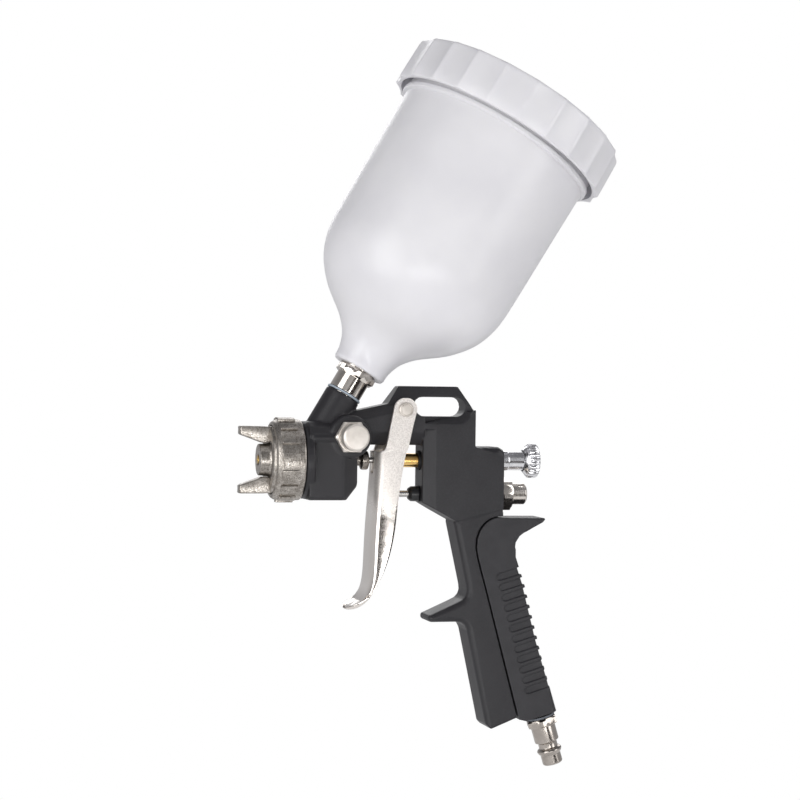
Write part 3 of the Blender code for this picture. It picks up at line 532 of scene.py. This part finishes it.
def smooth_run(points, per=5):
    """Catmull-Rom curve through the points."""
    ends = [points[0]] + points + [points[-1]]
    run = []
    for p0, p1, p2, p3 in zip(ends, ends[1:], ends[2:], ends[3:]):
        for k in range(per):
            t = k / per
            run.append(tuple(0.5 * (2 * b + (c - a) * t + (2 * a - 5 * b + 4 * c - d) * t ** 2
                                    + (3 * b - a - 3 * c + d) * t ** 3)
                             for a, b, c, d in zip(p0, p1, p2, p3)))
    return run + [points[-1]]


def make_cup():
    """Blow-moulded cup: funnel, body, two rolled beads under the lid and the thread's ridge."""
    outside = [(r, h, 0) for r, h in smooth_run(CUP_OUTSIDE)]
    rim = [(48.75, 125.4, 0), (50.6, 126.0, 0.4), (50.6, 128.1, 0.4), (49.4, 128.3, 0.2),
           (49.4, 135.0), (50.9, 136.0), (50.9, 139.0), (49.4, 140.0), (49.2, 145.6)]
    inside = [(r - CUP_WALL, h + 0.4, 0) for r, h in smooth_run(CUP_OUTSIDE[5:])][::-1]
    inner = [(47.4, 145.6), (46.9, 126.0)] + inside + [(14.4, 13.4), (11.6, 11.0), (8.9, 10.2),
                                                       (8.9, -1.3)]
    work = spun([(12.6, -1.3)] + outside + rim + inner, 0.4, ROUND, ring=True)
    finish_piece("paint_cup", work, CUP, "root", POLYPROPYLENE, "cup", 40.0)


def make_lid():
    """Screw lid: wide flutes between narrow crests, a rolled rim, and a shallow dish."""
    count = LID_FLUTES * LID_FLUTE_STEPS
    rings = [round_ring(52.9, 128.6, count)]
    for height, share, crest in ((128.6, 0.95, 55.3), (128.75, 1.0, 55.75), (129.2, 1.0, 55.98),
                                 (135.0, 1.0, 55.95), (142.0, 1.0, 55.8), (147.0, 1.0, 55.65),
                                 (148.4, 0.95, 55.45), (149.3, 0.7, 54.9), (149.8, 0.4, 54.1),
                                 (150.0, 0.15, 53.0)):

        def reach(angle):
            hollow = abs(math.sin(angle * LID_FLUTES / 2)) ** 0.75
            return crest - LID_FLUTE_DEPTH * share * hollow

        rings.append(round_ring(reach, height, count))
    for radius, height in ((50.0, 150.0), (46.2, 150.0), (45.4, 149.85), (44.8, 149.3),
                           (44.2, 149.05), (43.0, 149.0), (30.0, 149.0), (12.0, 149.0),
                           (9.6, 149.05), (9.2, 149.5), (8.9, 150.0), (8.3, 150.2), (3.3, 150.2),
                           (3.3, 147.6), (48.0, 147.6), (52.0, 147.2), (52.9, 146.4)):
        rings.append(round_ring(radius, height, count))
    work = skinned(rings)
    finish_piece("screw_lid", work, CUP, "lid", POLYPROPYLENE, "lid", 50.0)
    plug = spun([(0, 152.6), (3.9, 152.6), (4.6, 152.0), (4.6, 150.5), (3.0, 150.5),
                 (3.0, 145.0), (2.2, 143.5), (0.8, 143.5), (0.8, 149.0), (0, 149.0)], 0.3)
    finish_piece("drip_vent_plug", plug, CUP, "lid", WAX_WHITE, "lid_vent_plug")


def make_cup_fittings():
    """Plated connector between the casting and the cup, on its fibre washer."""
    metal = nickel(CUP, "connector_nickel", 0.12)
    body = spun([(8.5, 8.5), (8.5, -1.9), (8.0, -1.9), (8.0, -13.7), (6.1, -13.7),
                 (6.1, -26.5), (4.2, -26.5), (4.2, 0.2), (6.9, 0.5), (8.0, 8.5)], 0.2,
                ring=True)
    nut = chamfered_hexagon(18.0, -5.8, -1.7, 8.0)
    finish_piece("cup_stud", merged(body, nut), CUP, "root", metal, "cup_connector")
    washer = spun([(8.6, -14.9), (8.6, -14.0), (6.5, -14.0), (6.5, -14.9)], 0.2, ring=True)
    finish_piece("stud_washer", washer, CUP, "root",
                 small_moulding("fibre_washer", "#8b97a3", "#a7b0ba", 0.55, 0.6),
                 "connector_washer")


def chamfered_hexagon(flats, low, high, bore, turn=0.0):
    """Hexagon with a hole, its corners turned down to a cone at both ends, as nut stock is."""
    count = 6 * 8
    side = math.pi / 3
    apothem = flats / 2
    corner = flats / math.sqrt(3)
    drop = (corner - apothem) * 0.62
    rings = [round_ring(bore, low, count, turn)]
    for height, limit in ((low, apothem * 0.99), (low + drop, corner), (high - drop, corner),
                          (high, apothem * 0.99)):

        def reach(angle):
            off = (angle + side / 2) % side - side / 2
            return min(apothem / math.cos(off), limit)

        rings.append(round_ring(reach, height, count, turn))
    rings.append(round_ring(bore, high, count, turn))
    return skinned(rings)


# ---- spray end ----------------------------------------------------------------------------
def make_ring():
    """Cast retaining ring: square lugs with softened edges on a plain band, and an inner lip."""
    body = spun([(18.7, -66.7), (19.0, -67.2), (19.0, -77.8), (18.2, -79.6), (17.4, -80.3),
                 (16.3, -80.3), (16.3, -77.6), (17.5, -77.6), (17.5, -66.7)], 0.35, ROUND,
                ring=True)
    works = [body]
    for i in range(RING_LUGS):
        lug = bmesh.new()
        size = Matrix.Diagonal((1.8 * MM, 3.9 * MM, 8.2 * MM, 1))
        bmesh.ops.create_cube(lug, size=1.0, matrix=size)
        bmesh.ops.bevel(lug, geom=lug.edges[:], offset=0.32 * MM, segments=HORN_AND_LUG_STEPS,
                        profile=0.5, affect="EDGES", material=-1)
        turn = Matrix.Rotation(math.tau * i / RING_LUGS, 4, "Z")
        bmesh.ops.transform(lug, verts=lug.verts,
                            matrix=turn @ Matrix.Translation((19.1 * MM, 0, -73.9 * MM)))
        works.append(lug)
    finish_piece("ring_casting", merged(*works), NEEDLE, "retaining_ring",
                 CAST_NICKEL, "retaining_ring", 50.0)


def make_air_cap():
    """Air cap: rolled rim, domed web, centre boss and two horns."""
    disc = spun([(17.0, -73.9), (17.0, -76.2), (15.9, -76.2), (15.9, -80.0), (15.2, -81.3),
                 (13.9, -81.9), (11.5, -81.4), (8.4, -80.9), (7.7, -82.0), (7.4, -86.3),
                 (2.7, -86.3), (2.7, -84.9), (5.6, -82.4), (7.5, -79.2), (11.5, -78.4),
                 (11.5, -73.9)], 0.5, ROUND, ring=True)
    works = [disc]
    for side in (-1, 1):
        horn = bmesh.new()
        rings = []
        for x, inner, outer, half in ((-79.9, 8.6, 15.4, 4.2), (-84.5, 7.9, 15.7, 3.9),
                                      (-95.0, 11.7, 15.8, 3.1), (-95.5, 12.2, 15.4, 2.6)):
            corners = ((inner, -half), (inner, half), (outer, half), (outer, -half))
            rings.append([horn.verts.new((-side * r * MM, y * MM, x * MM)) for r, y in corners])
        for lower, upper in zip(rings, rings[1:]):
            for i in range(4):
                j = (i + 1) % 4
                horn.faces.new((lower[i], lower[j], upper[j], upper[i]))
        horn.faces.new(rings[0])
        horn.faces.new(rings[-1])
        bmesh.ops.recalc_face_normals(horn, faces=horn.faces)
        bmesh.ops.bevel(horn, geom=horn.edges[:], offset=0.55 * MM, segments=HORN_AND_LUG_STEPS,
                        profile=0.5, affect="EDGES", material=-1)
        works.append(horn)
    finish_piece("air_cap_casting", merged(*works), NEEDLE, "air_cap",
                 CAST_NICKEL, "air_cap", 50.0)


def make_spray_end():
    """Retaining ring, air cap, and the nozzle with its own hexagon."""
    make_ring()
    make_air_cap()
    nozzle = spun([(5.7, -56.0), (5.7, -68.1), (6.2, -68.1), (6.2, -69.4), (5.0, -69.4),
                   (5.0, -76.5), (2.0, -84.3), (1.9, -86.6), (0.8, -86.6), (0.8, -85.6),
                   (2.3, -82.0), (2.3, -56.0)], 0.15, FINE_ROUND, ring=True)
    nut = chamfered_hexagon(12.0, -76.0, -70.0, 4.9)
    finish_piece("nozzle_tip", merged(nozzle, nut), NEEDLE, "root",
                 turned_metal("nozzle_brassy_steel", NEEDLE, ("#c9a24e", "#d9c08a"), 0.24, 0.25,
                              0.003), "fluid_nozzle")


# ---- needle, its knob and the air valve ---------------------------------------------------
def make_needle_group():
    """Needle, its brass collar and packing screw, and the fluid knob on its sleeve."""
    needle = spun([(0, 36.0), (1.2, 36.0), (1.5, 35.6), (1.5, 5.6), (3.3, 5.6), (3.3, 3.6),
                   (1.5, 3.6), (1.5, -80.0), (0.5, -85.6), (0.4, -86.2), (0, -86.4)],
                  0.1, FINE_ROUND)
    finish_piece("needle_rod", needle, NEEDLE, "needle", STEEL, "fluid_needle")
    collar = spun([(3.3, 3.2), (3.3, -18.0), (2.95, -18.4), (2.95, -19.6), (3.3, -20.0),
                   (3.3, -28.1), (1.8, -28.1), (1.8, 3.2)], 0.25, FINE_ROUND, ring=True)
    finish_piece("brass_collar", collar, NEEDLE, "needle", turned_brass(NEEDLE),
                 "needle_collar")
    gland = spun([(3.6, -44.2), (1.8, -44.2), (1.8, -33.4), (3.6, -33.4), (4.4, -33.8),
                  (4.6, -34.4), (4.6, -36.2), (4.4, -36.8), (3.0, -37.2), (2.7, -38.0),
                  (2.7, -39.6), (3.6, -40.2)], 0.2, FINE_ROUND, ring=True)
    finish_piece("gland_screw", gland, NEEDLE, "root",
                 turned_metal("oiled_steel", NEEDLE, ("#77716b", "#9d968f"), 0.26, 0.25, 0.003),
                 "packing_gland_screw")
    sleeve = spun([(4.5, 19.0), (4.5, 31.4), (4.75, 31.8), (4.75, 35.2), (4.5, 35.6),
                   (4.5, 45.4), (3.5, 45.4), (3.5, 19.0)], 0.2, FINE_ROUND, ring=True)
    finish_piece("knob_sleeve", sleeve, NEEDLE, "root", CHROME, "fluid_knob_sleeve")
    head = fluted_bar(8.2, 0.8, 24, 45.2, 50.2, 0.7)
    face = spun([(0, 50.6), (5.6, 50.6), (6.3, 50.1), (6.3, 49.2), (0, 49.2)], 0.25)
    skirt = spun([(7.3, 45.7), (6.6, 44.6), (5.3, 43.3), (5.0, 43.3), (5.0, 46.2), (7.3, 46.2)],
                 0.2, ring=True)
    stem = spun([(3.1, 46.2), (3.1, 35.6), (1.9, 35.6), (1.9, 46.2)], 0.15, FINE_ROUND, ring=True)
    finish_piece("fluid_knob_head", merged(head, face, skirt, stem), NEEDLE, "fluid_knob",
                 CHROME, "fluid_knob", 40.0)


def make_air_valve():
    """Air valve under the needle: guide, stem and rear plug."""
    guide = spun([(3.4, -1.8), (1.9, -1.8), (1.9, -13.6), (2.6, -13.6), (3.6, -12.3),
                  (3.7, -9.4), (3.7, -8.7), (3.4, -8.5)], 0.25, FINE_ROUND, ring=True)
    finish_piece("valve_guide", guide, AIR_VALVE, "root",
                 small_moulding("black_acetal", "#161618", "#1e1e20", 0.32, 1.0),
                 "air_valve_guide")
    stem = spun([(0, 14.0), (2.0, 14.0), (2.0, 11.5), (4.6, 11.5), (4.6, 9.4), (1.6, 9.4),
                 (1.6, -29.5), (1.2, -29.9), (0, -29.9)], 0.15, FINE_ROUND)
    finish_piece("valve_stem", stem, AIR_VALVE, "air_valve", STEEL, "air_valve_stem")
    plug = spun([(0, 44.7), (4.3, 44.7), (5.1, 43.9), (5.1, 33.0), (5.5, 31.0), (5.5, 24.0),
                 (4.3, 24.0), (4.3, 32.0), (0, 32.0)], 0.25)
    nut = chamfered_hexagon(14.0, 31.8, 37.2, 5.0, math.radians(13))
    finish_piece("valve_plug", merged(plug, nut), AIR_VALVE, "root",
                 nickel(AIR_VALVE), "air_valve_plug")


def make_fan_valve():
    """Fan control on the side of the head: hexagon housing and smooth cap."""
    metal = nickel(FAN, "fan_nickel", 0.40, 0.8)
    housing = spun([(4.9, 8.0), (4.9, 16.0), (6.2, 16.0), (6.2, 18.9), (3.3, 18.9), (3.3, 8.0)],
                   0.2, FINE_ROUND, ring=True)
    nut = chamfered_hexagon(14.0, 15.7, 19.4, 3.4, math.radians(30))
    finish_piece("fan_housing", merged(housing, nut), FAN, "root", metal,
                 "fan_valve_housing")
    knob = spun([(0, 27.6), (5.4, 27.6), (6.3, 26.8), (6.3, 19.9), (2.9, 19.9), (2.9, 11.0),
                 (2.0, 11.0), (2.0, 9.4), (2.9, 9.4), (2.9, 8.6), (0, 7.0)], 0.25, ROUND)
    finish_piece("fan_cap", knob, FAN, "fan_knob", metal, "fan_valve_knob")


# ---- trigger ------------------------------------------------------------------------------
TRIGGER_HALF = 12.0
TRIGGER_SHEET = 1.7


def trigger_rows():
    """Rows down the trigger: (front x, z, rear x, z, web share) for its sheet section."""
    x, z = PIVOT
    reach = 5.6
    rows = []
    for angle in (12, 22, 32, 44, 56, 68, 80, 90):
        turn = math.radians(angle)
        dx, dz = reach * math.sin(turn), reach * math.cos(turn)
        rows.append((x - dx, z + dz, x + dx, z + dz, 0))
    rows += [(-25.4, -14.0, -14.5, -14.0, 0), (-26.6, -21.0, -15.9, -21.0, 0),
             (-27.4, -25.0, -16.7, -25.0, 0)]
    rows += [(-31.0, -26.0, -16.9, -26.0, 1), (-31.2, -35.0, -18.4, -35.0, 1),
             (-32.0, -47.0, -20.2, -47.0, 1), (-33.0, -60.0, -21.2, -60.0, 1),
             (-33.5, -72.0, -23.0, -71.0, 1), (-33.6, -82.0, -25.8, -80.6, 1),
             (-34.1, -89.5, -29.6, -88.6, 1), (-35.4, -94.2, -32.6, -93.2, 1),
             (-38.0, -97.6, -36.4, -96.2, 0.96), (-41.0, -99.4, -39.8, -98.0, 0.86),
             (-42.6, -99.9, -41.6, -98.6, 0.66), (-43.5, -100.1, -43.0, -99.0, 0.3)]
    return rows


def make_trigger():
    """Pressed trigger: flat cheeks, a rounded front web with a needle slot, and a curled tip."""
    columns = 16
    flat = 6             # columns that an open cheek doesn't use
    power = 0.45         # how square the web's corners are; 1 is round
    bulge = 0.85
    half = TRIGGER_HALF - TRIGGER_SHEET / 2
    work = bmesh.new()
    grid = []
    for xf, zf, xr, zr, web in trigger_rows():
        row = []
        for side in (-1, 1):
            line = []
            for i in range(columns + 1):
                angle = math.pi / 2 * i / columns
                across = math.sin(angle) ** power
                back = 1 - math.cos(angle) ** power
                if not web:
                    across, back = 1.0, max(0.0, (i - flat) / (columns - flat))
                width = half * (web or 1.0)
                point = Vector((xf + (xr - xf) * back + bulge * (1 - 2 * back) * web,
                                side * width * across, zf + (zr - zf) * back))
                line.append(work.verts.new(point * MM))
            row.append(line)
        grid.append((row, web))
    for (upper, web_above), (lower, _) in zip(grid, grid[1:]):
        for above, below in zip(upper, lower):
            for i in range(0 if web_above else flat, columns):
                work.faces.new((above[i], above[i + 1], below[i + 1], below[i]))
    bmesh.ops.remove_doubles(work, verts=work.verts, dist=0.000002)
    loose = [v for v in work.verts if not v.link_faces]
    bmesh.ops.delete(work, geom=loose, context="VERTS")
    slot_half, slot_low, web_x = 2.7 * MM, -36.6 * MM, -28.0 * MM
    for spot, normal in (((0, slot_half, 0), (0, 1, 0)), ((0, -slot_half, 0), (0, 1, 0)),
                         ((0, 0, slot_low), (0, 0, 1))):
        bmesh.ops.bisect_plane(work, geom=work.verts[:] + work.edges[:] + work.faces[:],
                               plane_co=spot, plane_no=normal, dist=0.000001)
    opened = []
    for face in work.faces:
        middle = face.calc_center_median()
        if abs(middle.y) < slot_half and middle.z > slot_low and middle.x < web_x:
            opened.append(face)
    bmesh.ops.delete(work, geom=opened, context="FACES")
    bmesh.ops.recalc_face_normals(work, faces=work.faces)
    item = finish_piece("trigger_plate", work, WORLD, "trigger", pressed_chrome(),
                        "trigger", 60.0)
    for kind, settings in (("SUBSURF", {"levels": 2, "render_levels": 2}),
                           ("SOLIDIFY", {"thickness": TRIGGER_SHEET * MM, "offset": 0.0}),
                           ("BEVEL", {"width": 0.35 * MM, "segments": 2,
                                      "limit_method": "ANGLE"})):
        step = item.modifiers.new(kind.lower(), kind)
        for key, value in settings.items():
            setattr(step, key, value)


def make_pin():
    """Trigger's pin: a flat head with a turned groove near its edge."""
    metal = nickel(PIN, "pin_nickel", 0.42, 0.8)
    pin = spun([(0, 13.6), (2.4, 13.6), (2.5, 13.25), (2.8, 13.25), (2.9, 13.55), (3.4, 13.2),
                (3.4, 12.3), (2.5, 12.3), (2.5, -12.0), (1.6, -12.0), (1.6, -4.0), (0, -4.0)],
               0.12)
    finish_piece("pivot_pin", pin, PIN, "root", metal, "trigger_pin")


# ---- air plug -----------------------------------------------------------------------------
def make_air_plug():
    """Quick-coupling plug on its washer; its plate is duller than the knobs'."""
    metal = turned_metal("plug_nickel", INLET, ("#a39c95", "#b8b1aa"), 0.20, 0.30, 0.003)
    body = spun([(2.5, -9.0), (4.8, -9.0), (4.8, 1.2), (5.9, 1.2), (5.9, 13.0), (4.6, 13.8),
                 (4.6, 16.2), (5.6, 16.8), (6.1, 17.6), (5.6, 18.8), (4.9, 19.6), (4.9, 24.0),
                 (4.4, 24.6), (2.5, 24.6)], 0.3, ring=True)
    nut = chamfered_hexagon(14.0, 1.4, 5.2, 5.0, math.radians(12))
    finish_piece("quick_plug", merged(body, nut), INLET, "root", metal, "air_plug")
    washer = spun([(7.0, 0.0), (7.0, 1.0), (5.2, 1.0), (5.2, 0.0)], 0.2, ring=True)
    finish_piece("plug_washer", washer, INLET, "root",
                 small_moulding("plug_fibre", "#4c5057", "#6c7077", 0.55, 0.6),
                 "air_plug_washer")


# ---- hidden pieces keep their CAD shape ---------------------------------------------------
def make_springs():
    """Return springs: each keeps its CAD coil shape and takes the ground steel finish."""
    springs = (("needle_return_spring", "needle_spring", "needle"),
               ("valve_return_spring", "air_valve_spring", "air_valve"))
    for name, node, rod in springs:
        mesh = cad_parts[node].data.copy()
        mesh.transform(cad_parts[node].matrix_world)
        mesh.materials.clear()
        mesh.materials.append(STEEL)
        spring = bpy.data.objects.new(name, mesh)
        bpy.context.scene.collection.objects.link(spring)
        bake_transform(spring)
        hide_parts(node)


def dress_inner_pieces():
    """Give each carried-over CAD node the finish of its real material."""
    finishes = {
        STEEL: ("spring_seat_washer", "cap_snap_ring"),
        turned_metal("baffle_brass", NEEDLE, ("#b9873a", "#d3a45a"), 0.28, 0.3, 0.004):
            ("air_baffle",),
        WAX_WHITE: ("needle_packing", "lid_gasket", "cup_strainer"),
        small_moulding("nitrile_rubber", "#141415", "#1c1c1d", 0.62, 0.7):
            ("needle_guide_bush", "air_valve_seal", "fan_valve_o_ring"),
        nickel(PIN, "screw_nickel", 0.30): ("trigger_pin_screw",),
    }
    for material, nodes in finishes.items():
        for node in nodes:
            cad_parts[node].data.materials.clear()
            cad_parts[node].data.materials.append(material)


POLYPROPYLENE = polypropylene()
WAX_WHITE = small_moulding("waxy_ptfe", "#e6e6e3", "#f2f2ef", 0.42, 1.2)
CAST_NICKEL = cast_nickel()
CHROME = chrome_knob(NEEDLE)
STEEL = ground_steel(NEEDLE)

make_castings()
make_cup()
make_lid()
make_cup_fittings()
make_spray_end()
make_needle_group()
make_air_valve()
make_fan_valve()
make_trigger()
make_pin()
make_air_plug()
make_springs()
dress_inner_pieces()


# ---- camera, floor and light --------------------------------------------------------------
def place_camera():
    """Camera a little round to the nozzle's side, level, with a slight roll."""
    azimuth, elevation, roll = 0.246, 0.008, 0.0135
    target, distance = Vector((-0.018, 0, -0.0016)), 1.0476
    look = Vector((math.sin(azimuth) * math.cos(elevation),
                   math.cos(azimuth) * math.cos(elevation), -math.sin(elevation)))
    right = Vector((math.cos(azimuth), -math.sin(azimuth), 0))
    up = right.cross(look)
    right, up = (right * math.cos(roll) + up * math.sin(roll),
                 up * math.cos(roll) - right * math.sin(roll))
    data = bpy.data.cameras.new("camera")
    data.lens = 99
    data.sensor_width = 36
    data.clip_start = 0.05
    camera = bpy.data.objects.new("camera", data)
    place = Matrix((right, up, -look)).transposed().to_4x4()
    place.translation = target - look * distance
    camera.matrix_world = place
    bpy.context.scene.collection.objects.link(camera)
    bpy.context.scene.camera = camera


def light_panel(name, place, target, size, power):
    """Rectangular softbox aimed at a point."""
    data = bpy.data.lights.new(name, "AREA")
    data.shape = "RECTANGLE"
    data.size, data.size_y = size
    data.energy = power
    lamp = bpy.data.objects.new(name, data)
    lamp.location = place
    lamp.rotation_euler = (Vector(target) - Vector(place)).to_track_quat("-Z", "Y").to_euler()
    bpy.context.scene.collection.objects.link(lamp)


def make_floor():
    """Plain pale floor, well under the hanging gun."""
    radius, floor_z = 0.7, -0.36
    mesh = bpy.data.meshes.new("floor")
    work = bmesh.new()
    bmesh.ops.create_circle(work, cap_ends=True, segments=ROUND, radius=radius,
                            matrix=Matrix.Translation((0, 0, floor_z)))
    work.to_mesh(mesh)
    work.free()
    material, tree, shader, place = start(
        "pale_floor", Roughness=0.9, Emission_Color=colour("#ffffff"), Emission_Strength=0.25)
    cloud = add(tree, NOISE, {"Vector": place, "Scale": scale(400.0)}, "Fac")
    tint = add(tree, RAMP, {"Fac": cloud}, "Color",
               stops=[(0.3, colour("#f4f4f4")), (0.7, colour("#f8f8f8"))])
    drive(tree, shader, Base_Color=tint)
    mesh.materials.append(material)
    floor = bpy.data.objects.new("floor", mesh)
    bpy.context.scene.collection.objects.link(floor)


def make_room():
    """Pale room: grey above and below, a dark card low behind the camera, white to the eye.

    The card is what bright plate reflects as its black edge lines.
    """
    world = bpy.data.worlds.new("studio")
    bpy.context.scene.world = world
    world.use_nodes = True
    tree = world.node_tree
    way = add(tree, "ShaderNodeTexCoord", {}, "Generated")
    up = add(tree, SPLIT, {"Vector": way}, "Z")
    ahead = add(tree, SPLIT, {"Vector": way}, "Y")
    shade = add(tree, SPREAD, {"Value": up, "From Min": -0.6, "From Max": 0.6}, "Result")
    walls = add(tree, RAMP, {"Fac": shade}, "Color",
                stops=[(0.0, colour("#8a8989")), (0.5, colour("#c4c4c6")),
                       (1.0, colour("#7d7d80"))])
    near = add(tree, SPREAD, {"Value": ahead, "From Min": -0.62, "From Max": -0.74}, "Result")
    low = add(tree, SPREAD, {"Value": up, "From Min": 0.07, "From Max": 0.01}, "Result")
    card = add(tree, "ShaderNodeMath", {0: near, 1: low}, "Value", operation="MULTIPLY")
    room = add(tree, MIX, {0: card, 6: walls, 7: colour("#2c2624")}, 2, data_type="RGBA")
    seen = add(tree, "ShaderNodeLightPath", {}, "Is Camera Ray")
    mixed = add(tree, MIX, {0: seen, 6: room, 7: colour("#ffffff")}, 2, data_type="RGBA")
    tree.links.new(mixed, tree.nodes["Background"].inputs["Color"])


def make_lights():
    """Soft boxes round the gun."""
    middle = (0.0, 0.0, -0.02)
    light_panel("key", (-1.15, -0.75, 0.15), middle, (0.8, 1.3), 10.0)
    light_panel("fill", (1.05, -1.0, 0.30), middle, (0.6, 1.2), 7.0)
    light_panel("front", (-0.25, -1.45, -0.33), middle, (1.3, 0.3), 7.5)
    light_panel("rim", (0.4, 1.2, 0.6), middle, (1.4, 0.7), 6.0)
    light_panel("top", (-0.2, -0.3, 1.3), middle, (0.7, 0.7), 1.2)


place_camera()
make_floor()
make_room()
make_lights()
bpy.context.scene.view_settings.view_transform = "Standard"
